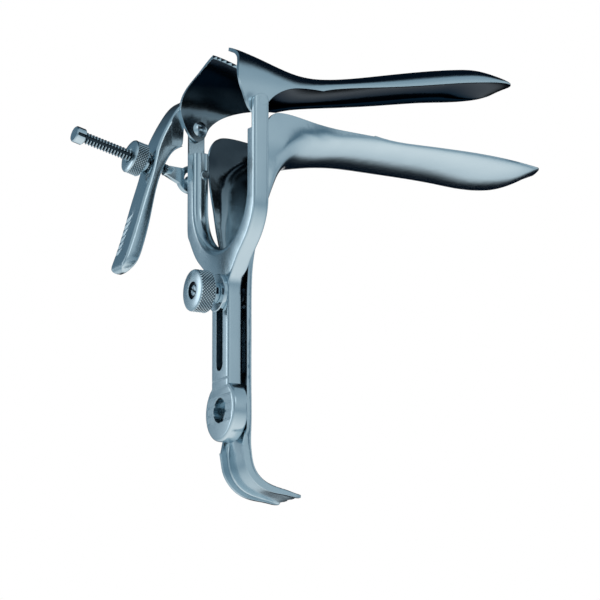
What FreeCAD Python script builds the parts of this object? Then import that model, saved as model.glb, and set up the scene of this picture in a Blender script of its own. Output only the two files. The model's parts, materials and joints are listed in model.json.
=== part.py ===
import FreeCAD, Part
import math
import os

# Bivalve speculum with a sliding yoke, in millimetres.
# Origin: middle of the blade hinge axis. +Y runs forward along the blades, +Z is up,
# +X is the side away from the thumb lever.

V = FreeCAD.Vector
X_AXIS = V(1, 0, 0)
Y_AXIS = V(0, 1, 0)
Z_AXIS = V(0, 0, 1)

# Sheet of both valves
sheet = 1.2
section_steps = 9

# Upper valve
ear_half_width = 22.0
upper_blade_half_width = 15.9
upper_tip_y = 104.7
upper_tip_length = 20.7
upper_tip_fullness = 3.4
notch_half_width = 5.6
notch_straight_y = 6.0
notch_round_length = 7.0
ear_rear_y = -6.4

# Lower valve
collar_half_width = 20.6
lower_blade_half_width = 17.8
lower_tip_y = 117.7
lower_tip_length = 23.7
lower_tip_fullness = 2.1
channel_half_width = 8.2
channel_front_y = 5.2
channel_flange_y = 2.7
channel_length = 107.0
foot_reach = 23.2
web_flat = 0.08

# Yoke
arm_thickness = 6.8
tang_thickness = 2.0
tang_gap = 0.3
yoke_front_y = 2.5
yoke_rear_y = -3.3
window_bottom_z = -45.1
step_z = -9.0
tang_top_z = 2.4
stem_half_width = 6.05
slot_half_width = 2.25
slot_travel = 24.0
slot_end_gap = 0.3
eye_radius = 10.3
eye_hole_radius = 4.2
eye_z = -100.3
inner_round = 2.7
outer_round = 1.2
groove_count = 6
groove_width = 0.7
groove_depth = 0.35

# Hinge and pivots
rivet_radius = 1.5
rivet_head_radius = 2.6
rivet_head_height = 0.9
rivet_head_gap = 0.12
run_gap = 0.06

# Clamp
stud_z = -60.8
stud_radius = 1.9
stud_shoulder_radius = 4.5
stud_shoulder_gap = 0.1
washer_radius = 6.3
washer_thickness = 1.5
knob_radius = 7.1
knob_length = 5.8
knob_edge = 0.7
knob_hub_radius = 3.5
knob_hub_length = 3.0
knob_recess_radius = 2.9
knob_recess_depth = 0.9
hub_slot_width = 2.4

# Adjusting screw, seen from its pivot on the far arm
screw_x = -27.0
screw_pivot_y = 0.3
screw_pivot_z = -16.5
screw_tilt = 14.1
screw_radius = 1.95
screw_length = 45.8
screw_neck_start = 10.5
screw_eye_radius = 4.7
screw_eye_hole = 2.7
screw_eye_thickness = 2.2
pivot_pin_radius = 1.7
cap_radius = 2.8
cap_length = 3.6
keyway_width = 0.9
keyway_depth = 0.6

# Thumb nut
nut_radius = 5.7
nut_width = 5.2
nut_edge = 0.6
nut_hub_radius = 3.1
nut_hub_length = 1.7
nut_gap = 0.45

# Thumb lever
lever_width = 10.4
lever_inner_x = -21.9
lever_seat = 17.3
lever_hole_half_width = 2.6
lever_hole_half_height = 4.0
lever_edge_round = 1.4
lever_inner_round = 1.0
lever_end_length = 5.5
thumb_groove_count = 6
thumb_groove_depth = 0.45


def box(x0, x1, y0, y1, z0, z1):
    """Box between two corners."""
    return Part.makeBox(x1 - x0, y1 - y0, z1 - z0, V(x0, y0, z0))


def cylinder(radius, start, axis, length):
    """Cylinder from a start point along an axis."""
    return Part.makeCylinder(radius, length, start, axis)


def ring(outer, inner, start, axis, length):
    """Cylinder with a bore through it."""
    body = cylinder(outer, start, axis, length)
    bore = cylinder(inner, start - axis * 1.0, axis, length + 2.0)
    return body.cut(bore)


def spline(points, leave=None, arrive=None):
    """Smooth edge through the points, with its end directions where they are given."""
    curve = Part.BSplineCurve()
    if leave is None:
        curve.interpolate(points)
    else:
        curve.interpolate(Points=points, InitialTangent=leave, FinalTangent=arrive)
    return curve.toShape()


def side_prism(wire_edges, half_width):
    """Solid from a closed outline in the side view, as wide as given on both sides of X = 0."""
    face = Part.Face(Part.Wire(wire_edges))
    face.translate(V(-half_width, 0, 0))
    return face.extrude(V(2 * half_width, 0, 0))


def front_prism(wire_edges, y0, y1):
    """Solid from a closed outline in the front view, between two depths."""
    face = Part.Face(Part.Wire(wire_edges))
    face.translate(V(0, y0, 0))
    return face.extrude(V(0, y1 - y0, 0))


def polyline(points):
    """Straight edges through the points."""
    return [Part.makeLine(a, b) for a, b in zip(points[:-1], points[1:])]


def trough_curve(back, opening, half_width, bow, depth, squareness):
    """Open edge of a trough section: a bowed back with two straight legs."""
    points = []
    power = 2.0 / squareness
    leg = depth - bow
    for k in (1.0, 0.5):
        points.append(back + X_AXIS * -half_width + opening * (bow + leg * k))
    for i in range(-section_steps, section_steps + 1):
        angle = math.pi / 2 * i / section_steps
        across = math.copysign(abs(math.sin(angle)) ** power, angle) * half_width
        rise = bow * (1 - max(math.cos(angle), 0.0) ** power)
        points.append(back + X_AXIS * across + opening * rise)
    for k in (0.5, 1.0):
        points.append(back + X_AXIS * half_width + opening * (bow + leg * k))
    return points


def trough_section(y, z, tilt, half_width, bow, depth, squareness=2.0, wall=sheet):
    """Closed section of the sheet. The trough opens upward at tilt 0 and rearward at tilt 90."""
    opening = V(0, -math.sin(math.radians(tilt)), math.cos(math.radians(tilt)))
    back = V(0, y, z)
    outer = trough_curve(back, opening, half_width, bow, depth, squareness)
    inner = trough_curve(back + opening * wall, opening, half_width - wall,
                         bow - wall, depth - wall, squareness)
    return Part.Wire([spline(outer), Part.makeLine(outer[-1], inner[-1]),
                      spline(inner[::-1]), Part.makeLine(inner[0], outer[0])])


def filled_section(y, z, tilt, half_width, bow, depth, squareness=2.0):
    """The same section without its hollow."""
    opening = V(0, -math.sin(math.radians(tilt)), math.cos(math.radians(tilt)))
    outer = trough_curve(V(0, y, z), opening, half_width, bow, depth, squareness)
    return Part.Wire([spline(outer), Part.makeLine(outer[-1], outer[0])])


def tip_outline(tip_y, length, half_width, fullness):
    """Plan outline of a blade: everything behind the tip, and a rounded end in front."""
    centre_y = tip_y - length
    points = []
    steps = 12
    for i in range(-steps, steps + 1):
        angle = math.pi / 2 * i / steps
        across = math.copysign(abs(math.sin(angle)) ** (2 / fullness), angle) * half_width
        points.append(V(across, centre_y + max(math.cos(angle), 0.0) ** (2 / fullness) * length, -180))
    rear = box(-40, 40, -60, centre_y, -180, 60)
    face = Part.Face(Part.Wire([spline(points), Part.makeLine(points[-1], points[0])]))
    return rear.fuse(face.extrude(V(0, 0, 240)))


def upper_stations():
    """Rows of the upper valve: y, crown height, half width, bow and depth of the section."""
    w = upper_blade_half_width
    e = ear_half_width
    t = upper_tip_y
    return [(-10, 23.0, e, 20.9, 29.4), (-2, 22.4, e, 20.3, 28.6), (6, 20.1, e - 0.2, 17.4, 24.2),
            (13, 17.7, e - 1.5, 13.7, 17.8), (20, 15.9, w + 2.4, 10.0, 11.1),
            (27, 15.1, w + 0.9, 6.8, 7.0), (37, 16.0, w + 0.3, 5.4, 5.6),
            (52, 19.1, w + 0.1, 6.2, 6.4), (68, 22.6, w, 7.0, 7.2), (t - 20.7, 25.45, w, 7.0, 7.2),
            (t - 13.7, 25.8, w - 0.1, 6.4, 6.6), (t - 8.7, 24.65, w - 0.7, 4.6, 4.8),
            (t - 5.2, 23.5, w - 1.9, 3.0, 3.2), (t - 2.7, 22.7, w - 3.7, 1.95, 2.1),
            (t - 1.1, 22.4, w - 6.1, 1.45, 1.55), (t - 0.1, 22.45, w - 9.2, 1.4, 1.45)]


def upper_rim_tool():
    """What is trimmed under the rim, behind the ears and round the hinge lugs."""
    r = ear_rear_y
    rim = [V(0, r, 3.0), V(0, r + 1.5, -0.8), V(0, r + 3.6, -3.5), V(0, r + 5.8, -4.4), V(0, r + 7.9, -3.2),
           V(0, r + 9.4, -0.2), V(0, r + 11.6, 2.4), V(0, r + 15.6, 5.0), V(0, r + 21.0, 6.9),
           V(0, r + 28.0, 7.9), V(0, r + 33.4, 8.0)]
    rear = [V(0, r + 3.0, 26.0), V(0, r + 3.3, 21.5), V(0, r + 2.6, 18.0), V(0, r + 0.9, 14.5),
            V(0, r - 0.7, 10.5), V(0, r - 1.0, 6.8), V(0, r, 3.0)]
    frame = [rim[-1], V(0, r + 33.4, -30), V(0, -30, -30), V(0, -30, 40), V(0, r + 3.0, 40), rear[0]]
    return side_prism([spline(rear), spline(rim)] + polyline(frame), 40)


def notch_tool():
    """Open notch in the roof over the working channel."""
    rear = box(-notch_half_width, notch_half_width, -40, notch_straight_y, 8, 60)
    major, minor = V(0, notch_straight_y + notch_round_length, 8), V(notch_half_width, notch_straight_y, 8)
    if notch_half_width > notch_round_length:
        major, minor = minor, major
    ellipse = Part.Ellipse(major, minor, V(0, notch_straight_y, 8))
    return rear.fuse(Part.Face(Part.Wire([ellipse.toShape()])).extrude(V(0, 0, 52)))


def upper_form(section):
    """Loft of the upper valve with hollow or filled sections."""
    wires = [section(y, z, 180, w, bow, depth) for y, z, w, bow, depth in upper_stations()]
    return Part.makeLoft(wires, True, False)


def upper_valve():
    """Upper blade with its hinge ears and the notch in its roof."""
    form = upper_form(trough_section)
    form = form.common(tip_outline(upper_tip_y, upper_tip_length, upper_blade_half_width + 0.05, upper_tip_fullness))
    form = form.cut(upper_rim_tool()).cut(notch_tool())
    return form.cut(cylinder(rivet_radius + run_gap, V(-40, 0, 0), X_AXIS, 80))


def lower_stations():
    """Rows of the lower valve from the blade's tip to the foot of the handle: y, z of the
    back, tilt, half width, bow, depth, squareness."""
    w = lower_blade_half_width
    c = collar_half_width
    h = channel_half_width
    f = channel_front_y
    t = lower_tip_y
    z = -channel_length
    blade = [(t - 0.1, -7.05, 0, w - 14.6, 1.4, 1.5, 2.0), (t - 0.8, -7.35, 0, w - 12.5, 1.4, 1.6, 2.0),
             (t - 2.2, -7.96, 0, w - 9.6, 1.5, 1.7, 2.0), (t - 4.7, -9.05, 0, w - 6.5, 1.95, 2.15, 2.0),
             (t - 7.7, -10.63, 0, w - 4.1, 3.1, 3.3, 2.0), (t - 11.7, -12.24, 0, w - 2.1, 4.5, 4.7, 2.0),
             (t - 16.7, -13.05, 0, w - 0.65, 5.4, 5.6, 2.0), (t - 23.7, -13.23, 0, w, 6.0, 6.2, 2.0),
             (t - 31.7, -12.66, 0, w, 5.85, 6.05, 2.0), (76, -12.03, 0, w, 5.4, 5.6, 2.0),
             (64, -11.68, 0, w, 5.05, 5.25, 2.0), (51, -11.5, 0, w, 5.2, 5.5, 2.0),
             (38, -12.4, 0, w + 0.2, 6.3, 8.2, 2.0)]
    bend = [(30, -13.7, 2, c - 2.2, 7.2, 10.0, 2.0), (23.5, -15.1, 10, c - 1.2, 8.0, 14.5, 2.0),
            (18.2, -17.2, 27, c - 0.2, 8.5, 19.0, 2.0), (14.4, -20.4, 47, c, 8.5, 19.0, 2.1),
            (11.6, -24.8, 63, c - 1.4, 7.4, 14.0, 2.3), (9.3, -30.5, 75, c - 4.0, 5.4, 11.0, 2.6),
            (7.3, -37, 82, c - 6.2, 4.0, 8.0, 3.0), (6.0, -44, 87, c - 9.0, 3.0, 6.5, 3.6),
            (f + 0.15, -51, 90, h + 1.2, 2.4, 5.6, 4.2), (f, -58, 90, h + 0.2, 2.2, 5.6, 4.6)]
    handle = [(f, -75, 90, h, 2.2, 5.6, 4.6), (f, -92, 90, h, 2.2, 5.6, 4.6), (f, z, 90, h, 2.2, 5.6, 4.6)]
    foot = [(f + 0.1, z - 7, 93, h, 2.2, 4.0, 4.6), (f + 1.1, z - 12, 110, h, 2.2, 3.9, 4.6),
            (f + 4.0, z - 15.8, 140, h, 2.2, 3.5, 4.6), (f + 8.4, z - 17.8, 160, h, 2.0, 3.0, 4.4),
            (f + 13.5, z - 18.9, 168, h, 1.7, 2.3, 4.0), (foot_reach, z - 19.9, 169, h - 0.2, 1.4, 1.6, 3.4)]
    return blade + bend + handle + foot


def lower_rim_tool():
    """What is trimmed above the collar's rim and behind the handle's flanges."""
    f = channel_flange_y
    z = -channel_length
    rim = [V(0, 46, -5.5), V(0, 38, -5.15), V(0, 30, -4.75), V(0, 22, -4.0), V(0, 15, -2.9), V(0, 9.5, -2.4),
           V(0, 6.2, -3.0), V(0, 4.2, -5.0), V(0, f, -9.5)]
    frame = [V(0, f, -9.5), V(0, f, z), V(0, f - 1.3, z - 6), V(0, -30, z - 6), V(0, -30, 30), V(0, 46, 30),
             V(0, 46, -5.5)]
    return side_prism([spline(rim)] + polyline(frame), 40)


def foot_end_tool():
    """Shallow scallops along the foot's end edge."""
    tool = None
    radius = 2.6
    for x in (-0.62 * channel_half_width, 0.0, 0.62 * channel_half_width):
        cut = cylinder(radius, V(x, foot_reach + radius - 0.7, -channel_length - 40), Z_AXIS, 40)
        tool = cut if tool is None else tool.fuse(cut)
    return tool


def lower_valve():
    """Lower blade, collar, apron and the channelled handle with its forward foot, one sheet."""
    rows = lower_stations()
    form = Part.makeLoft([trough_section(*row) for row in rows], True, False)
    form = form.common(tip_outline(lower_tip_y, lower_tip_length, lower_blade_half_width + 0.05, lower_tip_fullness))
    form = form.cut(lower_rim_tool()).cut(foot_end_tool())
    front = channel_front_y - web_flat
    form = form.cut(box(-20, 20, front, front + 5, -channel_length + 2, -60))
    return form.cut(cylinder(stud_radius, V(0, -20, stud_z), Y_AXIS, 40))


def arm_outer_x():
    """Outer face of the yoke's arms."""
    return ear_half_width + tang_gap + tang_thickness


def yoke_outline():
    """Front outline of the yoke without its lower eye."""
    x = arm_outer_x()
    s = stem_half_width
    z = window_bottom_z
    shoulder = [V(x, 0, z + 13), V(x - 1.3, 0, z + 6.4), V(x - 5.6, 0, z), V(s + 6.4, 0, z - 5.6),
                V(s + 2.0, 0, z - 10.4), V(s, 0, z - 17.5)]
    mirrored = [V(-p.x, 0, p.z) for p in shoulder[::-1]]
    top = tang_top_z
    down = [V(s, 0, z - 17.5), V(s, 0, eye_z), V(-s, 0, eye_z), V(-s, 0, z - 17.5)]
    up = [V(-x, 0, z + 13), V(-x, 0, top), V(x, 0, top), V(x, 0, z + 13)]
    fall, rise = V(0, 0, -7), V(0, 0, 7)
    return [spline(shoulder, fall, fall)] + polyline(down) + [spline(mirrored, rise, rise)] + polyline(up)


def on_face(edge, y):
    """True where a whole edge lies in the plane at depth y."""
    return all(abs(edge.valueAt(p).y - y) < 1e-4 for p in
               (edge.FirstParameter, (edge.FirstParameter + edge.LastParameter) / 2, edge.LastParameter))


def middle(edge):
    """Point at the middle of an edge."""
    return edge.valueAt((edge.FirstParameter + edge.LastParameter) / 2)


def yoke():
    """Fork, slotted stem and lower eye in one piece."""
    inner_x = arm_outer_x() - arm_thickness
    centre_z = window_bottom_z + inner_x
    body = front_prism(yoke_outline(), yoke_rear_y, yoke_front_y)
    body = body.fuse(cylinder(eye_radius, V(0, yoke_rear_y, eye_z), Y_AXIS, yoke_front_y - yoke_rear_y))
    body = body.removeSplitter()
    window = cylinder(inner_x, V(0, -20, centre_z), Y_AXIS, 40)
    window = window.fuse(box(-inner_x, inner_x, -20, 20, centre_z, 40))
    body = body.cut(window).removeSplitter()
    inner = []
    outer = []
    for edge in body.Edges:
        if not (on_face(edge, yoke_rear_y) or on_face(edge, yoke_front_y)):
            continue
        p = middle(edge)
        if p.z > tang_top_z - 0.1:
            continue
        at_window = abs(p.x) <= inner_x + 1e-3 and p.z >= window_bottom_z - 1e-3
        (inner if at_window else outer).append(edge)
    body = body.makeFillet(inner_round, inner)
    outer = [e for e in body.Edges if any(middle(e).distanceToPoint(middle(o)) < 1e-3 for o in outer)]
    body = body.makeFillet(outer_round, outer)
    tang_inner_x = ear_half_width + tang_gap
    body = body.cut(box(-tang_inner_x, tang_inner_x, -20, 20, step_z, 40))
    tang_radius = (yoke_front_y - yoke_rear_y) / 2
    tang_y = (yoke_front_y + yoke_rear_y) / 2
    cap = box(-40, 40, -20, 20, tang_top_z - tang_radius, 40)
    cap = cap.cut(cylinder(tang_radius, V(-40, tang_y, tang_top_z - tang_radius), X_AXIS, 80))
    body = body.cut(cap)
    top = stud_z + stud_radius + slot_end_gap - slot_half_width
    bottom = stud_z - slot_travel - stud_radius - slot_end_gap + slot_half_width
    slot = box(-slot_half_width, slot_half_width, -20, 20, bottom, top)
    for z in (top, bottom):
        slot = slot.fuse(cylinder(slot_half_width, V(0, -20, z), Y_AXIS, 40))
    body = body.cut(slot).cut(cylinder(eye_hole_radius, V(0, -20, eye_z), Y_AXIS, 40))
    body = body.cut(cylinder(rivet_radius, V(-40, 0, 0), X_AXIS, 80))
    pin = cylinder(pivot_pin_radius, V(-40, screw_pivot_y, screw_pivot_z), X_AXIS, 40)
    return body.cut(pin).cut(stem_grooves(bottom))


def stem_grooves(slot_bottom):
    """Short cross grooves cut across the rear face beside the eye's hole."""
    tool = None
    span = 14.0
    first = slot_bottom - slot_half_width - 3.0
    for i in range(groove_count):
        z = first - span * i / (groove_count - 1)
        cut = box(-8.0, 8.0, yoke_rear_y - 1, yoke_rear_y + groove_depth, z - groove_width / 2, z + groove_width / 2)
        tool = cut if tool is None else tool.fuse(cut)
    return tool


def hinge_rivet(side):
    """Rivet flush in the tang's outer face, with a low head inside the ear."""
    outer = arm_outer_x()
    inner = ear_half_width - sheet - rivet_head_gap
    shank = cylinder(rivet_radius, V(side * outer, 0, 0), X_AXIS * -side, outer - inner + rivet_head_height / 2)
    ball = (rivet_head_radius ** 2 + rivet_head_height ** 2) / (2 * rivet_head_height)
    head = Part.makeSphere(ball, V(side * (inner + ball - rivet_head_height), 0, 0))
    limit = cylinder(rivet_head_radius, V(side * inner, 0, 0), X_AXIS * -side, rivet_head_height)
    return shank.fuse(head.common(limit)).removeSplitter()


def screw_axis():
    """Unit vector from the pivot pin along the adjusting screw."""
    tilt = math.radians(screw_tilt)
    return V(0, -math.cos(tilt), math.sin(tilt))


def screw_point(distance):
    """Point on the screw's axis at a distance from its pivot."""
    return V(screw_x, screw_pivot_y, screw_pivot_z) + screw_axis() * distance


def screw_pivot_pin():
    """Pin through the far arm, flush inside, with a spacer collar outside."""
    outer = arm_outer_x()
    inner = outer - arm_thickness
    start = V(-inner - 0.3, screw_pivot_y, screw_pivot_z)
    far_x = screw_x - screw_eye_thickness / 2 - 0.5
    pin = cylinder(pivot_pin_radius, start, X_AXIS * -1, -far_x - inner - 0.3)
    head = Part.makeCone(pivot_pin_radius, pivot_pin_radius - 0.5, 0.3, start, X_AXIS)
    collar = cylinder(pivot_pin_radius + 0.6, V(-outer, screw_pivot_y, screw_pivot_z), X_AXIS * -1,
                      -screw_x - screw_eye_thickness / 2 - 0.2 - outer)
    end = cylinder(pivot_pin_radius + 0.35, V(far_x + 0.3, screw_pivot_y, screw_pivot_z), X_AXIS * -1, 0.8)
    return pin.fuse(head).fuse(collar).fuse(end).removeSplitter()


def adjusting_screw():
    """Threaded rod with a flattened neck and an eye on the pivot pin."""
    axis = screw_axis()
    rod = cylinder(screw_radius, screw_point(screw_neck_start), axis,
                   screw_length - cap_length - screw_neck_start)
    eye_offset = screw_eye_hole - pivot_pin_radius - 0.12
    eye_start = screw_point(eye_offset) - X_AXIS * (screw_eye_thickness / 2)
    eye = cylinder(screw_eye_radius, eye_start, X_AXIS, screw_eye_thickness)
    up = axis.cross(X_AXIS)
    a = screw_point(eye_offset)
    b = screw_point(screw_neck_start)
    half = screw_eye_thickness / 2
    eye_wire = Part.makePolygon([a + up * 3.4 - X_AXIS * half, a + up * 3.4 + X_AXIS * half,
                                 a - up * 3.4 + X_AXIS * half, a - up * 3.4 - X_AXIS * half,
                                 a + up * 3.4 - X_AXIS * half])
    side = screw_radius * 0.98
    rod_wire = Part.makePolygon([b + up * side * 0.8 - X_AXIS * side * 0.55, b + up * side * 0.8 + X_AXIS * side * 0.55,
                                 b - up * side * 0.8 + X_AXIS * side * 0.55,
                                 b - up * side * 0.8 - X_AXIS * side * 0.55,
                                 b + up * side * 0.8 - X_AXIS * side * 0.55])
    neck = Part.makeLoft([eye_wire, rod_wire], True, True)
    ramp = Part.makeCone(screw_radius * 0.72, screw_radius, 2.0, screw_point(screw_neck_start - 2.0), axis)
    body = rod.fuse(ramp).fuse(neck).fuse(eye)
    hole = cylinder(screw_eye_hole, eye_start - X_AXIS * 5, X_AXIS, 20)
    body = body.cut(hole).removeSplitter()
    return body.cut(keyway_tool())


def keyway_tool():
    """Lengthwise groove along the upper side of the rod, right into the end cap."""
    axis = screw_axis()
    up = axis.cross(X_AXIS)
    if up.z < 0:
        up = up * -1
    a = screw_point(screw_neck_start + 3.0) + up * (screw_radius - keyway_depth) - X_AXIS * (keyway_width / 2)
    length = screw_length - screw_neck_start
    face = Part.Face(Part.makePolygon([a, a + X_AXIS * keyway_width, a + X_AXIS * keyway_width + up * 3,
                                       a + up * 3, a]))
    return face.extrude(axis * length)


def screw_end_cap():
    """Stop fixed on the rod's end, with the keyway running into it."""
    start = screw_point(screw_length - cap_length)
    cap = cylinder(cap_radius, start, screw_axis(), cap_length)
    ends = [e for e in cap.Edges if e.Closed]
    cap = cap.makeChamfer(0.35, ends)
    up = screw_axis().cross(X_AXIS)
    if up.z < 0:
        up = up * -1
    a = start + up * (screw_radius - keyway_depth) - X_AXIS * (keyway_width / 2) - screw_axis() * 1.0
    face = Part.Face(Part.makePolygon([a, a + X_AXIS * keyway_width, a + X_AXIS * keyway_width + up * 3,
                                       a + up * 3, a]))
    return cap.cut(face.extrude(screw_axis() * (1.0 + 0.6 * cap_length)))


def thumb_nut():
    """Knurled nut with a slotted hub that bears on the lever."""
    axis = screw_axis()
    hub_start = screw_point(lever_seat + nut_gap)
    wheel_start = screw_point(lever_seat + nut_gap + nut_hub_length)
    wheel = cylinder(nut_radius, wheel_start, axis, nut_width)
    wheel = wheel.makeChamfer(nut_edge, [e for e in wheel.Edges if e.Closed])
    hub = cylinder(nut_hub_radius, hub_start, axis, nut_hub_length + 0.5)
    body = wheel.fuse(hub).removeSplitter()
    return body.cut(cylinder(screw_radius + run_gap, hub_start - axis * 5, axis, 30))


def lever_profile():
    """Side outline of the thumb lever: a thick root at the ear and a curved grip."""
    seat = V(0, screw_point(lever_seat).y, screw_point(lever_seat).z)
    along = V(0, -math.sin(math.radians(screw_tilt)), -math.cos(math.radians(screw_tilt)))
    rear = [V(0, -2.2, 11.2), V(0, -5.8, 9.0), V(0, -9.6, 4.0), V(0, -13.2, -2.5), seat - along * 4.6,
            seat, seat + along * 4.6, V(0, -19.9, -24.0), V(0, -22.3, -32.0), V(0, -25.1, -41.0),
            V(0, -27.6, -48.0)]
    front = [V(0, -25.2, -51.2), V(0, -22.4, -47.6), V(0, -19.9, -41.0), V(0, -17.8, -33.0), V(0, -15.9, -24.0),
             V(0, -13.9, -17.0), V(0, -11.4, -11.6), V(0, -9.0, -8.3), V(0, -6.4, -6.6)]
    tip = spline([rear[-1], V(0, -27.2, -50.8), front[0]])
    top = polyline([front[-1], V(0, -5.9, -5.4), V(0, -5.0, 3.4), V(0, -1.6, 5.4), rear[0]])
    return [spline(rear), tip, spline(front)] + top


def thumb_lever():
    """Lever brazed on the ear, with the screw's clearance hole and thumb grooves."""
    face = Part.Face(Part.Wire(lever_profile()))
    x0 = lever_inner_x - lever_width
    face.translate(V(x0, 0, 0))
    body = face.extrude(V(lever_width + 3.5, 0, 0))
    rounded = [e for e in body.Edges if abs(middle(e).x - x0) < 1e-4]
    body = body.makeFillet(lever_edge_round, rounded)
    inside = box(lever_inner_x + 0.9, 10, -80, 40, -80, 40)
    body = body.cut(inside)
    low = box(lever_inner_x, 10, -80, -7.5, -80, 40)
    body = body.cut(low)
    body = body.cut(lever_end_tool())
    grip = [e for e in body.Edges if abs(middle(e).x - lever_inner_x) < 1e-4 and middle(e).z < -13
            and middle(e).z > -48 and e.Length > 8]
    body = body.makeFillet(lever_inner_round, grip)
    valve = upper_form(filled_section)
    body = body.cut(valve)
    return body.cut(lever_hole()).cut(thumb_grooves())


def lever_end_tool():
    """What is trimmed off the corners of the lever's lower end."""
    half = lever_width / 2
    centre = lever_inner_x - half
    bottom = -51.6
    middle_z = bottom + lever_end_length
    ellipse = Part.Ellipse(V(centre, -60, bottom), V(centre + half + 0.01, -60, middle_z), V(centre, -60, middle_z))
    if lever_end_length < half:
        ellipse = Part.Ellipse(V(centre + half + 0.01, -60, middle_z), V(centre, -60, bottom), V(centre, -60, middle_z))
    end = Part.Face(Part.Wire([ellipse.toShape()])).extrude(V(0, 60, 0))
    return box(centre - 10, centre + 10, -60, 0, bottom - 5, middle_z).cut(end)


def lever_hole():
    """Upright oval hole for the adjusting screw."""
    axis = screw_axis()
    up = axis.cross(X_AXIS)
    reach = lever_hole_half_height - lever_hole_half_width
    start = screw_point(lever_seat - 12)
    hole = cylinder(lever_hole_half_width, start + up * reach, axis, 24)
    hole = hole.fuse(cylinder(lever_hole_half_width, start - up * reach, axis, 24))
    a = start - up * reach - X_AXIS * lever_hole_half_width
    b = start + up * reach - X_AXIS * lever_hole_half_width
    shift = X_AXIS * (2 * lever_hole_half_width)
    return hole.fuse(Part.Face(Part.makePolygon([a, b, b + shift, a + shift, a])).extrude(axis * 24))


def thumb_grooves():
    """Slanted grip grooves across the lever's rear face."""
    tool = None
    for i in range(thumb_groove_count):
        z = -30.5 - 2.3 * i
        y = -21.9 - 0.75 * i
        centre = V(lever_inner_x - lever_width / 2, y - 1.2 + thumb_groove_depth, z)
        direction = V(math.cos(math.radians(30)), 0, math.sin(math.radians(30)))
        groove = cylinder(0.9, centre - direction * 5.2, direction, 10.4)
        tool = groove if tool is None else tool.fuse(groove)
    return tool


def clamp_stud():
    """Stud riveted in the handle's web, with a shoulder that the stem rests on."""
    web_inner = channel_front_y - sheet
    rear = washer_rear() - knob_hub_length - knob_length + knob_recess_depth
    shank = cylinder(stud_radius, V(0, channel_front_y, stud_z), Y_AXIS * -1, channel_front_y - rear)
    seat = web_inner - stud_shoulder_gap
    shoulder = cylinder(stud_shoulder_radius, V(0, seat, stud_z), Y_AXIS * -1, seat - yoke_front_y - 0.1)
    domed = Part.makeCone(stud_radius, stud_radius - 0.6, 0.5, V(0, rear, stud_z), Y_AXIS * -1)
    return shank.fuse(shoulder).fuse(domed).removeSplitter()


def washer_rear():
    """Rear face of the clamp washer."""
    return yoke_rear_y - washer_thickness


def clamp_washer():
    """Plain washer on the yoke's stem."""
    body = ring(washer_radius, stud_radius + run_gap, V(0, yoke_rear_y, stud_z), Y_AXIS * -1, washer_thickness)
    rim = [e for e in body.Edges if e.Closed and abs(e.Curve.Radius - washer_radius) < 1e-6]
    return body.makeChamfer(0.25, rim)


def clamp_knob():
    """Knurled clamp knob with a cross-slotted hub."""
    hub_y = washer_rear()
    head_y = hub_y - knob_hub_length
    hub = cylinder(knob_hub_radius, V(0, hub_y, stud_z), Y_AXIS * -1, knob_hub_length)
    slot = box(-knob_hub_radius, knob_hub_radius, head_y, hub_y - 0.8, stud_z - hub_slot_width / 2,
               stud_z + hub_slot_width / 2)
    head = cylinder(knob_radius, V(0, head_y, stud_z), Y_AXIS * -1, knob_length)
    head = head.makeChamfer(knob_edge, [e for e in head.Edges if e.Closed])
    body = head.fuse(hub.cut(slot)).removeSplitter()
    body = body.cut(cylinder(stud_radius + run_gap, V(0, hub_y + 1, stud_z), Y_AXIS * -1, 30))
    face_y = head_y - knob_length
    recess = cylinder(knob_recess_radius, V(0, face_y + knob_recess_depth, stud_z), Y_AXIS * -1, 5)
    return body.cut(recess)


def parts():
    """Every piece by its name."""
    return {
        "lower_valve": lower_valve,
        "clamp_stud": clamp_stud,
        "clamp_washer": clamp_washer,
        "clamp_knob": clamp_knob,
        "yoke": yoke,
        "hinge_rivet_right": lambda: hinge_rivet(1),
        "hinge_rivet_left": lambda: hinge_rivet(-1),
        "screw_pivot_pin": screw_pivot_pin,
        "upper_valve": upper_valve,
        "thumb_lever": thumb_lever,
        "adjusting_screw": adjusting_screw,
        "screw_end_cap": screw_end_cap,
        "thumb_nut": thumb_nut,
    }


def main():
    """Build and export every piece."""
    os.makedirs("parts", exist_ok=True)
    for name, make in parts().items():
        shape = make()
        box_ = shape.BoundBox
        print("%-18s solids %d valid %s volume %.1f  x %.1f..%.1f y %.1f..%.1f z %.1f..%.1f" % (
            name, len(shape.Solids), shape.isValid(), shape.Volume, box_.XMin, box_.XMax,
            box_.YMin, box_.YMax, box_.ZMin, box_.ZMax))
        shape.exportStep("parts/%s.step" % name)


main()
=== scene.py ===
"""Satin steel bivalve speculum with a knurled clamp, an adjusting screw and a soft studio around it."""

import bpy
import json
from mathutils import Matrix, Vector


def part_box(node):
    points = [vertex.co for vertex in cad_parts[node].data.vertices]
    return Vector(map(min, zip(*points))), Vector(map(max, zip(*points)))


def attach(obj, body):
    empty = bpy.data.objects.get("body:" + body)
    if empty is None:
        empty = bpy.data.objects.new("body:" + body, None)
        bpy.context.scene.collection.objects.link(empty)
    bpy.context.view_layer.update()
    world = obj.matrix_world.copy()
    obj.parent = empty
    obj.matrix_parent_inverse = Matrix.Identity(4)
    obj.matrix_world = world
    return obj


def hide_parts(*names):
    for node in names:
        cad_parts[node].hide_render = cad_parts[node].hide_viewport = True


bl_info = {
    "name": "Bivalve speculum dressing",
    "version": (1, 0, 0),
    "blender": (4, 5, 0),
    "location": "3D View > Sidebar > Speculum",
    "description": "Threads, knurls, sheet steel finishes and studio for a bivalve speculum",
    "category": "Object",
}

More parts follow.
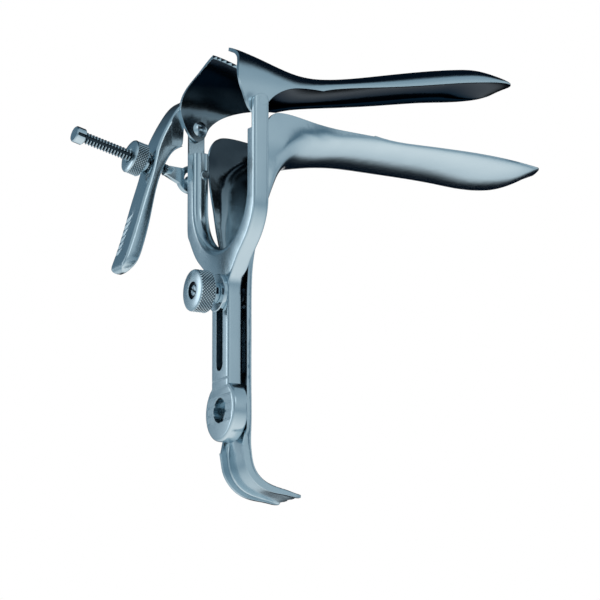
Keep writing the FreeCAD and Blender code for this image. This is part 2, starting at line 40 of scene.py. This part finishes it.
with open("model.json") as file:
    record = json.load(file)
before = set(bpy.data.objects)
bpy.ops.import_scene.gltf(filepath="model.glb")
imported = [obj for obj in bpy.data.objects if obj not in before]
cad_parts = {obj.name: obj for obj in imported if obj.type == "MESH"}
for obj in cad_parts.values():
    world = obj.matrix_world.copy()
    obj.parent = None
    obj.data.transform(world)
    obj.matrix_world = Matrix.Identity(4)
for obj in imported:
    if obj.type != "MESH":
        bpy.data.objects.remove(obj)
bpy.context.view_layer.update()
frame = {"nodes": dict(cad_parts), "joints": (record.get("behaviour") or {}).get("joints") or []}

import json
import math

import bmesh
import bpy
from mathutils import Matrix, Vector
from mathutils.bvhtree import BVHTree

MM = 0.001
MERGE = 2e-6          # CAD corners closer than this, in metres, are one
CUT_SHADE = 0.92      # painted shade mark of a cut or recessed face
KNURL_STEPS = 8       # mesh steps across one diamond
CLOUD_MM = 24.0       # size of the slow tone changes in the steel
SKIN_BEHIND = 0.0022  # a sheet's other skin lies within this many metres
SHEET_ANGLE = 32      # degrees beyond which an edge of pressed or forged work stays hard


# Small helpers ------------------------------------------------------------------------------

def linear(hex_code):
    """Linear RGBA of an sRGB hex value."""
    out = []
    for i in (1, 3, 5):
        c = int(hex_code[i:i + 2], 16) / 255
        out.append(c / 12.92 if c <= 0.04045 else ((c + 0.055) / 1.055) ** 2.4)
    return out + [1.0]


def add_node(tree, kind, settings=None, inputs=None, links=None):
    """Adds a node: settings are attributes, inputs are socket values, links are sockets that feed it."""
    node = tree.nodes.new(kind)
    for key, value in (settings or {}).items():
        setattr(node, key, value)
    for key, value in (inputs or {}).items():
        node.inputs[key].default_value = value
    for key, socket in (links or {}).items():
        tree.links.new(socket, node.inputs[key])
    return node


def box_mm(node):
    """Lowest and highest corner of a CAD node in millimetres."""
    low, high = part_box(node)
    return low / MM, high / MM


def mesh_object(name, bm):
    """Finished mesh object at the origin, with its faces turned outwards."""
    bmesh.ops.recalc_face_normals(bm, faces=bm.faces)
    mesh = bpy.data.meshes.new(name)
    bm.to_mesh(mesh)
    bm.free()
    obj = bpy.data.objects.new(name, mesh)
    bpy.context.scene.collection.objects.link(obj)
    return obj


def smooth_by_angle(bm, degrees):
    """Smooth faces, with edges sharper than the angle kept hard."""
    for face in bm.faces:
        face.smooth = True
    limit = math.radians(degrees)
    for edge in bm.edges:
        edge.smooth = len(edge.link_faces) == 2 and edge.calc_face_angle(0.0) < limit


def place_on_axis(bm, start, axis):
    """Moves a mesh built up local Z so that it starts at a point and runs along an axis."""
    turn = axis.to_track_quat("Z", "Y").to_matrix().to_4x4()
    bmesh.ops.transform(bm, matrix=Matrix.Translation(start) @ turn, verts=bm.verts)


def turned(profile, segments):
    """Solid of revolution about local Z from a profile of (radius, height) in millimetres."""
    bm = bmesh.new()
    verts = [bm.verts.new((r * MM, 0, z * MM)) for r, z in profile]
    edges = [bm.edges.new(pair) for pair in zip(verts[:-1], verts[1:])]
    bmesh.ops.spin(bm, geom=verts + edges, cent=(0, 0, 0), axis=(0, 0, 1), angle=math.tau,
                   steps=segments, use_merge=True)
    bmesh.ops.remove_doubles(bm, verts=bm.verts, dist=1e-7)
    return bm


# Materials ----------------------------------------------------------------------------------

def steel(name, colour, shade, roughness, spread, line_mm, line_axis, line_depth, grain_mm,
          edge_mm=0.2):
    """Stainless steel. colour and shade are its lightest and darkest tones, roughness wanders by
    spread, polishing lines of line_mm run along line_axis, grain_mm is the fine pitting and edge_mm the broken edge."""
    material = bpy.data.materials.new(name)
    material.use_nodes = True
    tree = material.node_tree
    tree.nodes.clear()
    place = add_node(tree, "ShaderNodeTexCoord")
    stretch = [1.0, 1.0, 1.0]
    stretch["XYZ".index(line_axis)] = 0.02
    lines_map = add_node(tree, "ShaderNodeMapping", inputs={"Scale": stretch},
                         links={"Vector": place.outputs["Object"]})
    lines = add_node(tree, "ShaderNodeTexNoise",
                     inputs={"Scale": 1000 / line_mm, "Detail": 3.0, "Roughness": 0.6},
                     links={"Vector": lines_map.outputs["Vector"]})
    grain = add_node(tree, "ShaderNodeTexNoise",
                     inputs={"Scale": 1000 / grain_mm, "Detail": 2.0, "Roughness": 0.5},
                     links={"Vector": place.outputs["Object"]})
    cloud = add_node(tree, "ShaderNodeTexNoise",
                     inputs={"Scale": 1000 / CLOUD_MM, "Detail": 3.0, "Roughness": 0.55},
                     links={"Vector": place.outputs["Object"]})
    tone = add_node(tree, "ShaderNodeMix", settings={"data_type": "RGBA"},
                    links={"Factor": cloud.outputs["Fac"]})
    tone.inputs["A"].default_value = linear(shade)
    tone.inputs["B"].default_value = linear(colour)
    # The piece's own marks darken the steel with painted shade: in the grooves, slots and recesses of cut work, and on
    # the inside of the pressed sheet.
    # The mark inside the sheet is painted shade and a painted reflection, standing for the near-black reflections
    # there, and isn't a coating that the real sheet has.
    skin = tone.outputs["Result"]
    for mark, deep in (("groove", "#0E1D28"), ("hollow_shade", "#0B1E2C")):
        read = add_node(tree, "ShaderNodeAttribute", settings={"attribute_name": mark})
        mix = add_node(tree, "ShaderNodeMix", settings={"data_type": "RGBA"},
                       links={"Factor": read.outputs["Fac"], "A": skin})
        mix.inputs["B"].default_value = linear(deep)
        skin = mix.outputs["Result"]
    wander = add_node(tree, "ShaderNodeMath", settings={"operation": "MULTIPLY_ADD"},
                      inputs={1: spread, 2: roughness - spread / 2},
                      links={0: lines.outputs["Fac"]})
    mixed = add_node(tree, "ShaderNodeMath", settings={"operation": "MULTIPLY_ADD"},
                     inputs={1: 0.35}, links={0: grain.outputs["Fac"], 2: lines.outputs["Fac"]})
    bump = add_node(tree, "ShaderNodeBump", inputs={"Strength": 0.35, "Distance": line_depth * MM},
                    links={"Height": mixed.outputs["Value"]})
    if edge_mm:
        broken_edge = add_node(tree, "ShaderNodeBevel", settings={"samples": 4}, inputs={"Radius": edge_mm * MM})
        tree.links.new(broken_edge.outputs["Normal"], bump.inputs["Normal"])
    shader = add_node(tree, "ShaderNodeBsdfPrincipled", inputs={"Metallic": 1.0},
                      links={"Base Color": skin, "Roughness": wander.outputs["Value"],
                             "Normal": bump.outputs["Normal"]})
    add_node(tree, "ShaderNodeOutputMaterial", links={"Surface": shader.outputs["BSDF"]})
    return material


def make_materials():
    """One finish for each kind of surface on the instrument."""
    look = bpy.context.scene.speculum_looks
    return {
        # Blades and handle: pressed 1.4301 sheet, satin polished, so its reflections are soft and long
        "sheet_y": steel("satin_sheet_blades", look.bright_steel, look.deep_steel, 0.17, 0.08, 0.30, "Y", 0.010, 0.12),
        # Yoke and lever: forged and belt ground, a little rougher, with lines down their length
        "forged": steel("ground_forging", look.bright_steel, look.deep_steel, 0.21, 0.08, 0.28, "Z", 0.012, 0.14),
        # Screw, stud and rivets: turned bar, brighter and tighter
        "turned": steel("turned_bar", look.bright_steel, look.deep_steel, 0.20, 0.08, 0.20, "X", 0.006, 0.10, 0),
        # Knurled heads: turned and rolled, with shade painted into the grooves
        "knurled": steel("rolled_knurl", look.bright_steel, look.deep_steel, 0.24, 0.08, 0.22, "X", 0.008, 0.10, 0),
    }


MATERIALS = {}


def finish_with(obj, key):
    """Gives an object one of the finishes in every slot."""
    if not MATERIALS:
        MATERIALS.update(make_materials())
    if not obj.data.materials:
        obj.data.materials.append(MATERIALS[key])
    for i in range(len(obj.data.materials)):
        obj.data.materials[i] = MATERIALS[key]


# Pieces -------------------------------------------------------------------------------------

def dress(obj, body, key, node):
    """Gives a finished piece its steel and the body it rides, and hides the CAD node it stands for."""
    finish_with(obj, key)
    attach(obj, body)
    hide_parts(node)


def mark_hollow_shade(bm, inward_and_shade):
    """Paints shade and a dark reflection onto the corners of a sheet's inner side. The function given for a point gives
    the way into the inner side and how dark the painted shade is there; a face with a second skin just behind it
    counts, and a rim or an outer face doesn't."""
    tree = BVHTree.FromBMesh(bm)
    mark = bm.loops.layers.float.new("hollow_shade")
    for face in bm.faces:
        centre, normal = face.calc_center_median(), face.normal
        way = inward_and_shade(centre)[0]
        if normal.dot(Vector((0, centre.y, centre.z)) + way * 0.02 - centre) <= 0:
            continue
        if tree.ray_cast(centre - normal * 2e-5, -normal, SKIN_BEHIND)[0] is not None:
            for loop in face.loops:
                loop[mark] = inward_and_shade(loop.vert.co)[1]


def smooth_copy(node, name, body, key, angle, inward_and_shade=None):
    """A smooth-shaded stand-in for a CAD node, from a merged copy of its mesh."""
    bm = bmesh.new()
    bm.from_mesh(frame["nodes"][node].data)
    bmesh.ops.remove_doubles(bm, verts=bm.verts, dist=MERGE)
    smooth_by_angle(bm, angle)
    if inward_and_shade:
        mark_hollow_shade(bm, inward_and_shade)
    mesh = bpy.data.meshes.new(name)
    bm.to_mesh(mesh)
    bm.free()
    obj = bpy.data.objects.new(name, mesh)
    bpy.context.scene.collection.objects.link(obj)
    dress(obj, body, key, node)


def groove_marks(bm):
    """The mesh's layer of painted shade for cut work, made on first use."""
    return bm.verts.layers.float.get("groove") or bm.verts.layers.float.new("groove")


def knurl(bm, radius, low, high, size, depth):
    """Rolls a diamond knurl into the rim of a turned piece between two heights, all in millimetres, and paints shade
    into its grooves.
    """
    around = round(math.tau * radius / size)
    rows = round((high - low) / size)
    groove = groove_marks(bm)
    for v in bm.verts:
        r = math.hypot(v.co.x, v.co.y) / MM
        z = v.co.z / MM
        if r < radius - 0.05 or not low <= z <= high:
            continue
        turn = math.atan2(v.co.y, v.co.x) / math.tau * around
        lift = (z - low) / (high - low) * rows
        left = abs(((turn + lift) % 1.0) - 0.5) * 2
        right = abs(((turn - lift) % 1.0) - 0.5) * 2
        scale = 1 - depth * (1 - min(left, right)) / r
        # painted shade, darker towards the bottom of each groove
        v[groove] = 0.9 * between(1 - min(left, right), 0.45, 0.85)
        v.co.x *= scale
        v.co.y *= scale


def shaded(bm, radius, low, high):
    """Paints shade into the inside of a turned recess: all within a radius and between two heights, in millimetres."""
    groove = groove_marks(bm)
    for v in bm.verts:
        if math.hypot(v.co.x, v.co.y) / MM <= radius and low <= v.co.z / MM <= high:
            v[groove] = CUT_SHADE


def milled(bm, origin, facing, side, width, floor, low=-1e9, high=1e9, along=None):
    """Mills a slot and paints shade into it: within half the width to each side, and between low and high along a third
    direction, nothing stands further out than the floor. Sizes in millimetres from the origin."""
    groove = groove_marks(bm)
    for v in bm.verts:
        place = (v.co - origin) / MM
        if abs(place.dot(side)) > width / 2 or (along and not low <= place.dot(along) <= high):
            continue
        out = place.dot(facing)
        if out > floor:
            v.co -= facing * (out - floor) * MM
            v[groove] = CUT_SHADE


def band(low, high, steps):
    """Heights between two limits, evenly spaced, ends included."""
    return [low + (high - low) * i / steps for i in range(steps + 1)]


def finished(bm, name, body, key, node, angle=30):
    """Turns a built mesh into a dressed piece that stands for its CAD node."""
    bmesh.ops.recalc_face_normals(bm, faces=bm.faces)
    smooth_by_angle(bm, angle)
    obj = mesh_object(name, bm)
    dress(obj, body, key, node)


def threaded_bar(start, axis, length, radius, pitch, depth, segments):
    """Helical thread swept from one line of teeth, in millimetres, closed at both ends, with shade painted darker
    towards the roots.
    """
    tooth = ((0.0, 0.0), (0.14, 0.0), (0.44, 1.0), (0.56, 1.0), (0.86, 0.0))
    turns = int(length / pitch)
    line = [(radius - depth + depth * up, (k + at) * pitch) for k in range(turns) for at, up in tooth]
    line.append((radius - depth, turns * pitch))
    bm = bmesh.new()
    verts = [bm.verts.new((r * MM, 0, z * MM)) for r, z in line]
    edges = [bm.edges.new(pair) for pair in zip(verts[:-1], verts[1:])]
    bmesh.ops.spin(bm, geom=verts + edges, cent=(0, 0, 0), axis=(0, 0, 1),
                   dvec=(0, 0, pitch / segments * MM), angle=math.tau, steps=segments)
    bmesh.ops.remove_doubles(bm, verts=bm.verts, dist=MERGE)
    bmesh.ops.holes_fill(bm, edges=[e for e in bm.edges if e.is_boundary])
    # Painted shade: darker the deeper a point lies below the crest
    groove = groove_marks(bm)
    for v in bm.verts:
        v[groove] = min(1.0, max(0.0, (radius - math.hypot(v.co.x, v.co.y) / MM) / depth))
    place_on_axis(bm, start, axis)
    return bm


class SpeculumLooks(bpy.types.PropertyGroup):
    """Colours shared by every steel piece."""
    bright_steel: bpy.props.StringProperty(
        name="Bright steel", description="sRGB hex of the steel's lightest tone", default="#CEDFE6")
    deep_steel: bpy.props.StringProperty(
        name="Deep steel", description="sRGB hex of the steel's deepest tone", default="#B6CAD4")


class SpeculumThread(bpy.types.PropertyGroup):
    """Sizes of the adjusting screw's thread."""
    pitch: bpy.props.FloatProperty(
        name="Thread pitch", description="Distance between crests", default=1.15 * MM, min=0.2 * MM,
        unit="LENGTH", subtype="DISTANCE")
    depth: bpy.props.FloatProperty(
        name="Thread depth", description="Crest to root", default=0.42 * MM, min=0.05 * MM,
        unit="LENGTH", subtype="DISTANCE")


class SpeculumKnurl(bpy.types.PropertyGroup):
    """Sizes of the diamond knurls."""
    size: bpy.props.FloatProperty(
        name="Diamond size", description="From one diamond to the next, coarser than real so that it shows",
        default=1.1 * MM, min=0.2 * MM, unit="LENGTH", subtype="DISTANCE")
    depth: bpy.props.FloatProperty(
        name="Knurl depth", description="How deep the grooves are rolled", default=0.36 * MM,
        min=0.02 * MM, unit="LENGTH", subtype="DISTANCE")


def between(value, low, high):
    """Share of the way from low to high, held between 0 and 1."""
    return min(1.0, max(0.0, (value - low) / (high - low)))


def upper_hollow_shade(point):
    """Way down into the upper valve, and its painted shade: darkest under the blade's roof, lighter on the flat of the
    ears.
    """
    return Vector((0, 0, -1)), 0.42 + 0.58 * max(between(point.z, 0.003, 0.014), between(point.y, 0.010, 0.022))


def lower_hollow_shade(point):
    """Way up over the lower blade and to the rear behind the handle, and its painted shade: lighter down the apron,
    dark in the channel.
    """
    share = between(point.y, 0.008, 0.028)
    dark = 0.9 - 0.55 * between(-point.z, 0.012, 0.032)
    dark = max(dark, between(-point.z, 0.046, 0.054)) * between(point.z, -0.096, -0.090)
    return Vector((0, share - 1, share)).normalized(), dark


class SPECULUM_OT_valves(bpy.types.Operator):
    """Dress both pressed valves"""
    bl_idname = "speculum.valves"
    bl_label = "Dress valves"

    def execute(self, context):
        # Both valves get painted shade and a painted dark reflection on the inside of their sheet
        smooth_copy("upper_valve", "upper_valve_sheet", "upper_valve", "sheet_y", SHEET_ANGLE,
                    upper_hollow_shade)
        smooth_copy("lower_valve", "lower_valve_sheet", "handle", "sheet_y", SHEET_ANGLE,
                    lower_hollow_shade)
        return {"FINISHED"}


class SPECULUM_OT_forgings(bpy.types.Operator):
    """Dress the yoke and the thumb lever"""
    bl_idname = "speculum.forgings"
    bl_label = "Dress forgings"

    def execute(self, context):
        smooth_copy("yoke", "yoke_forging", "yoke", "forged", SHEET_ANGLE)
        smooth_copy("thumb_lever", "thumb_lever_forging", "upper_valve", "forged", SHEET_ANGLE)
        return {"FINISHED"}


def knurled_head(under, over, radius, low, high, size):
    """Profile of a knurled head: what lies under the rim, the rim in fine steps, what lies over it."""
    steps = round((high - low) / size) * KNURL_STEPS
    return under + [(radius, z) for z in band(low, high, steps)] + over


class SPECULUM_OT_clamp(bpy.types.Operator):
    """Build the clamp knob, its washer and its stud"""
    bl_idname = "speculum.clamp"
    bl_label = "Build clamp"

    def execute(self, context):
        sizes = context.scene.speculum_knurl
        size, depth = sizes.size / MM, sizes.depth / MM
        low, high = box_mm("clamp_knob")
        radius = (high.x - low.x) / 2
        centre = Vector(((low.x + high.x) / 2, high.y, (low.z + high.z) / 2)) * MM
        rear = Vector((0, -1, 0))
        length = high.y - low.y
        # Hub, knurled head with broken edges, a shallow recess in its face and the bore through it
        head = knurled_head([(1.96, 0), (3.3, 0), (3.5, 0.2), (3.5, 0.6), (3.5, 0.75), (3.5, 2.85), (3.5, 2.98),
                             (radius - 0.75, 3.0), (radius - 0.2, 3.25), (radius, 3.65)],
                            [(radius - 0.22, length - 0.28), (radius - 0.8, length), (3.1, length),
                             (2.9, length - 0.15), (2.9, length - 0.2), (2.9, length - 0.9),
                             (1.96, length - 0.9), (1.96, 0)],
                            radius, 3.7, length - 0.75, size)
        bm = turned(head, round(math.tau * radius / size) * KNURL_STEPS)
        knurl(bm, radius, 3.7, length - 0.75, size, depth)
        # Painted shade inside the recess in the knob's face
        shaded(bm, 2.95, length - 1.0, length - 0.18)
        place_on_axis(bm, centre, rear)
        for facing, side in ((Vector((1, 0, 0)), Vector((0, 0, 1))), (Vector((0, 0, 1)), Vector((1, 0, 0)))):
            for way in (1, -1):
                milled(bm, centre, facing * way, side, 2.2, 2.3, 0.7, 2.9, rear)
        finished(bm, "knob_knurled", "clamp_knob", "knurled", "clamp_knob")
        # Stud with a shoulder and a slotted, domed end
        low, high = box_mm("clamp_stud")
        reach = high.y - low.y
        shoulder = (high.x - low.x) / 2
        dome = [(1.9, reach - 0.5), (1.75, reach - 0.2), (1.4, reach), (1.2, reach), (0.9, reach), (0.6, reach),
                (0.28, reach), (0, reach)]
        bm = turned([(0, 0), (1.9, 0), (1.9, 1.3), (shoulder - 0.2, 1.3), (shoulder, 1.5), (shoulder, 2.6), (1.9, 2.6)]
                    + dome, 64)
        centre = Vector(((low.x + high.x) / 2, high.y, (low.z + high.z) / 2)) * MM
        place_on_axis(bm, centre, rear)
        milled(bm, centre, rear, Vector((0.5, 0, 0.866)), 0.6, reach - 0.45)
        finished(bm, "stud_slotted", "handle", "turned", "clamp_stud")
        smooth_copy("clamp_washer", "washer_turned", "clamp_washer", "turned", 30)
        return {"FINISHED"}


class SPECULUM_OT_screw(bpy.types.Operator):
    """Build the adjusting screw's thread and end cap, and dress its pin and the rivets"""
    bl_idname = "speculum.screw"
    bl_label = "Build screw"

    def execute(self, context):
        sizes = context.scene.speculum_thread
        axis, pivot = screw_line(), screw_pivot()
        key_way = (Vector((1, 0, -0.12)) - axis * axis.dot(Vector((1, 0, -0.12)))).normalized()
        across = axis.cross(key_way)
        radius, neck, cap_from, cap_to = 1.95, 10.5, 42.2, 45.8
        bm = threaded_bar(pivot + axis * neck * MM, axis, cap_from - neck + 1.0, radius, sizes.pitch / MM,
                          sizes.depth / MM, 72)
        milled(bm, pivot, key_way, across, 0.95, radius - 0.75, neck + 3.5, cap_to, axis)
        # Eye and flattened neck from the CAD piece, cut where the thread starts
        eye = bmesh.new()
        eye.from_mesh(frame["nodes"]["adjusting_screw"].data)
        bmesh.ops.remove_doubles(eye, verts=eye.verts, dist=MERGE)
        bmesh.ops.bisect_plane(eye, geom=eye.verts[:] + eye.edges[:] + eye.faces[:], dist=1e-7,
                               plane_co=pivot + axis * (neck + 0.3) * MM, plane_no=axis, clear_outer=True)
        neck_mesh = bpy.data.meshes.new("neck")
        eye.to_mesh(neck_mesh)
        eye.free()
        bm.from_mesh(neck_mesh)
        bpy.data.meshes.remove(neck_mesh)
        finished(bm, "screw_threaded", "adjusting_screw", "turned", "adjusting_screw", 40)
        # End cap with broken edges, the keyway running into it
        cap = turned([(0, 0), (2.5, 0), (2.8, 0.3), (2.8, 0.9), (2.8, 1.5), (2.8, 2.2), (2.8, 3.2), (2.5, 3.6),
                      (1.6, 3.6), (0.8, 3.6), (0, 3.6)], 96)
        place_on_axis(cap, pivot + axis * cap_from * MM, axis)
        milled(cap, pivot, key_way, across, 1.0, 1.9, cap_from, cap_from + 2.3, axis)
        finished(cap, "cap_turned", "adjusting_screw", "turned", "screw_end_cap")
        for node, body in (("screw_pivot_pin", "yoke"), ("hinge_rivet_left", "yoke"), ("hinge_rivet_right", "yoke")):
            smooth_copy(node, node + "_turned", body, "turned", 30)
        return {"FINISHED"}


class SPECULUM_OT_nut(bpy.types.Operator):
    """Build the knurled thumb nut with its slotted hub"""
    bl_idname = "speculum.nut"
    bl_label = "Build thumb nut"

    def execute(self, context):
        sizes = context.scene.speculum_knurl
        size, depth = sizes.size / MM, sizes.depth / MM
        axis = screw_line()
        start = screw_pivot() + axis * 17.75 * MM
        radius = 5.7
        head = knurled_head([(2.01, 0), (2.9, 0), (3.1, 0.2), (3.1, 1.5), (3.1, 1.68), (radius - 0.7, 1.7),
                             (radius - 0.2, 1.9), (radius, 2.25)],
                            [(radius - 0.2, 6.6), (radius - 0.75, 6.9), (2.5, 6.9), (2.01, 6.6), (2.01, 0)],
                            radius, 2.3, 6.2, size)
        bm = turned(head, round(math.tau * radius / size) * KNURL_STEPS)
        knurl(bm, radius, 2.3, 6.2, size, depth)
        place_on_axis(bm, start, axis)
        x_way = Vector((1, 0, 0))
        for way in (1, -1):
            milled(bm, start, x_way * way, axis.cross(x_way), 1.8, 2.1, -0.1, 1.6, axis)
        finished(bm, "nut_knurled", "thumb_nut", "knurled", "thumb_nut")
        return {"FINISHED"}


def screw_line():
    """Unit axis of the adjusting screw, from its nut's joint."""
    joint = next(j for j in frame["joints"] if j["name"] == "nut_travel")
    return Vector(joint["axis"]).normalized()


def screw_pivot():
    """The screw's pivot point in metres."""
    joint = next(j for j in frame["joints"] if j["name"] == "screw_swing")
    return Vector(joint["pos_m"])


# Studio -------------------------------------------------------------------------------------

AZIMUTH = 61.5
ELEVATION = -12.2
DISTANCE = 1.830
FOCAL_PX = 5490.0
IMAGE_PX = 600.0
CENTRE_RIGHT = 0.02371
CENTRE_UP = -0.06131


def view_axes():
    """Right, up and back vectors of the photograph's view."""
    a, e = math.radians(AZIMUTH), math.radians(ELEVATION)
    right = Vector((math.cos(a), math.sin(a), 0))
    back = Vector((math.sin(a) * math.cos(e), -math.cos(a) * math.cos(e), math.sin(e)))
    return right, back.cross(right), back


def add_camera():
    """Camera at the photograph's viewing angle."""
    right, up, back = view_axes()
    data = bpy.data.cameras.new("photo_view")
    data.sensor_width = 36.0
    data.lens = FOCAL_PX / IMAGE_PX * 36.0
    data.clip_start = 0.05
    data.clip_end = 20.0
    camera = bpy.data.objects.new("photo_view", data)
    turn = Matrix((right, up, back)).transposed().to_4x4()
    camera.matrix_world = Matrix.Translation(right * CENTRE_RIGHT + up * CENTRE_UP + back * DISTANCE) @ turn
    bpy.context.scene.collection.objects.link(camera)
    bpy.context.scene.camera = camera


def add_lamp(name, place, target, size, power):
    """Rectangular soft box aimed at a point."""
    data = bpy.data.lights.new(name, "AREA")
    data.shape = "RECTANGLE"
    data.size, data.size_y = size
    data.energy = power
    lamp = bpy.data.objects.new(name, data)
    aim = (Vector(target) - Vector(place)).to_track_quat("-Z", "Y")
    lamp.matrix_world = Matrix.Translation(place) @ aim.to_matrix().to_4x4()
    bpy.context.scene.collection.objects.link(lamp)
    return lamp


def add_world():
    """Studio air as the steel reflects it: a bright table below, pale walls, a dark flag round the white
    backdrop behind the instrument, and plain white where the camera looks past."""
    world = bpy.data.worlds.new("studio_air")
    bpy.context.scene.world = world
    world.use_nodes = True
    tree = world.node_tree
    tree.nodes.clear()
    place = add_node(tree, "ShaderNodeTexCoord")
    way = place.outputs["Generated"]
    split = add_node(tree, "ShaderNodeSeparateXYZ", links={"Vector": way})
    height = add_node(tree, "ShaderNodeMapRange", inputs={"From Min": -1.0, "From Max": 1.0},
                      links={"Value": split.outputs["Z"]})
    sky = add_node(tree, "ShaderNodeValToRGB", links={"Fac": height.outputs["Result"]})
    shade_ramp(sky.color_ramp, ((0.0, 1.0), (0.05, 1.0), (0.13, 0.92), (0.20, 0.82), (0.33, 0.66), (0.45, 0.42),
                                (0.60, 0.60), (0.75, 0.56), (0.86, 0.48), (0.955, 0.42), (0.985, 0.12), (1.0, 0.05)))
    view = -view_axes()[2]
    tones = sky.outputs["Color"]
    # dark flags behind the instrument, a dim wall at its far side, each a cone of one brightness
    for aim, inner, outer, level in ((heading(-165, 34), 12, 40, 0.20), (heading(150, -1), 15, 31, 0.004),
                                     (heading(143, 47), 22, 42, 0.004), (heading(46, 8), 3, 15, 0.2)):
        mix = add_node(tree, "ShaderNodeMix", settings={"data_type": "RGBA"},
                       links={"Factor": cone(tree, way, aim, inner, outer), "A": tones})
        mix.inputs["B"].default_value = cool_grey(level)
        tones = mix.outputs["Result"]
    strip = add_node(tree, "ShaderNodeMix", settings={"data_type": "RGBA"},
                     links={"Factor": cone(tree, way, heading(-133, 10), 5, 17), "A": tones})
    strip.inputs["B"].default_value = (1.7, 1.78, 1.85, 1)
    dark = add_node(tree, "ShaderNodeMix", settings={"data_type": "RGBA"},
                    links={"Factor": cone(tree, way, heading(-66, 14), 6, 24), "A": strip.outputs["Result"]})
    dark.inputs["B"].default_value = linear("#6E8491")
    air = add_node(tree, "ShaderNodeBackground", inputs={"Strength": 1.0}, links={"Color": dark.outputs["Result"]})
    white = add_node(tree, "ShaderNodeBackground", inputs={"Color": (1, 1, 1, 1), "Strength": 1.0})
    ray = add_node(tree, "ShaderNodeLightPath")
    mirrored = add_node(tree, "ShaderNodeMath", settings={"operation": "MAXIMUM"},
                        links={0: ray.outputs["Is Glossy Ray"], 1: ray.outputs["Is Transmission Ray"]})
    behind = add_node(tree, "ShaderNodeMath", settings={"operation": "MULTIPLY"},
                      links={0: mirrored.outputs["Value"], 1: cone(tree, way, view, 3.5, 6)})
    seen = add_node(tree, "ShaderNodeMath", settings={"operation": "MAXIMUM"},
                    links={0: ray.outputs["Is Camera Ray"], 1: behind.outputs["Value"]})
    pick = add_node(tree, "ShaderNodeMixShader",
                    links={0: seen.outputs["Value"], 1: air.outputs["Background"], 2: white.outputs["Background"]})
    add_node(tree, "ShaderNodeOutputWorld", links={"Surface": pick.outputs["Shader"]})


def aimed(tree, way, aim):
    """How nearly a direction points along another: 1 straight at it, 0 across it."""
    return add_node(tree, "ShaderNodeVectorMath", settings={"operation": "DOT_PRODUCT"},
                    inputs={1: Vector(aim).normalized()}, links={0: way}).outputs["Value"]


def cone(tree, way, aim, inner, outer):
    """1 inside a cone round a direction, 0 outside, soft between."""
    return add_node(tree, "ShaderNodeMapRange", settings={"interpolation_type": "SMOOTHSTEP"},
                    inputs={"From Min": math.cos(math.radians(outer)), "From Max": math.cos(math.radians(inner))},
                    links={"Value": aimed(tree, way, aim)}).outputs["Result"]


def cool_grey(level):
    """Grey of a brightness that turns bluer as it darkens, as a daylight studio does."""
    return (level ** 1.3, level, level ** 0.84, 1.0)


def shade_ramp(ramp, stops):
    """Cool grey ramp from pairs of position and brightness."""
    while len(ramp.elements) < len(stops):
        ramp.elements.new(0.5)
    for element, (at, level) in zip(ramp.elements, stops):
        element.position = at
        element.color = cool_grey(level)


def heading(azimuth, elevation):
    """Unit vector from an azimuth and an elevation in degrees."""
    a, e = math.radians(azimuth), math.radians(elevation)
    return Vector((math.cos(a) * math.cos(e), math.sin(a) * math.cos(e), math.sin(e)))


def add_floor():
    """Plain pale floor, below the camera's sight line."""
    bm = bmesh.new()
    bmesh.ops.create_circle(bm, cap_ends=True, segments=64, radius=3.0)
    bmesh.ops.translate(bm, vec=(0, 0, -0.55), verts=bm.verts)
    floor = mesh_object("pale_floor", bm)
    material = bpy.data.materials.new("pale_paper")
    material.use_nodes = True
    shader = material.node_tree.nodes["Principled BSDF"]
    shader.inputs["Base Color"].default_value = linear("#F2F4F5")
    shader.inputs["Roughness"].default_value = 0.9
    floor.data.materials.append(material)
    floor.visible_glossy = False


class SPECULUM_OT_stage(bpy.types.Operator):
    """Set up the floor, air, lamps and camera"""
    bl_idname = "speculum.stage"
    bl_label = "Build studio"

    def execute(self, context):
        add_camera()
        add_world()
        add_floor()
        right, up, back = view_axes()
        add_lamp("key_softbox", right * 0.5 + up * 0.9 + back * 1.0, (0, 0.04, -0.03), (0.6, 0.6), 0.9)
        add_lamp("left_softbox", right * -1.1 + up * 0.3 + back * 0.7, (0, 0, -0.05), (0.4, 0.8), 0.5)
        bpy.context.scene.view_settings.view_transform = "Standard"
        return {"FINISHED"}


class SPECULUM_PT_panel(bpy.types.Panel):
    """Steps that dress the instrument"""
    bl_idname = "SPECULUM_PT_panel"
    bl_label = "Speculum"
    bl_space_type = "VIEW_3D"
    bl_region_type = "UI"
    bl_category = "Speculum"

    def draw(self, context):
        scene = context.scene
        for group in (scene.speculum_looks, scene.speculum_thread, scene.speculum_knurl):
            for key in group.bl_rna.properties.keys():
                if key not in ("rna_type", "name"):
                    self.layout.prop(group, key)
        for operator in STEPS:
            self.layout.operator(operator.bl_idname)


STEPS = (SPECULUM_OT_stage, SPECULUM_OT_valves, SPECULUM_OT_forgings, SPECULUM_OT_clamp, SPECULUM_OT_screw,
         SPECULUM_OT_nut)
GROUPS = (("speculum_looks", SpeculumLooks), ("speculum_thread", SpeculumThread), ("speculum_knurl", SpeculumKnurl))


def register():
    """Registers the groups, the steps and the panel."""
    for key, group in GROUPS:
        bpy.utils.register_class(group)
        setattr(bpy.types.Scene, key, bpy.props.PointerProperty(type=group))
    for operator in STEPS:
        bpy.utils.register_class(operator)
    bpy.utils.register_class(SPECULUM_PT_panel)


def unregister():
    """Removes what register added."""
    bpy.utils.unregister_class(SPECULUM_PT_panel)
    for operator in reversed(STEPS):
        bpy.utils.unregister_class(operator)
    for key, group in reversed(GROUPS):
        delattr(bpy.types.Scene, key)
        bpy.utils.unregister_class(group)


def main():
    """Runs every step."""
    register()
    for operator in STEPS:
        group, name = operator.bl_idname.split(".")
        getattr(getattr(bpy.ops, group), name)()


if __name__ == "__main__":
    main()
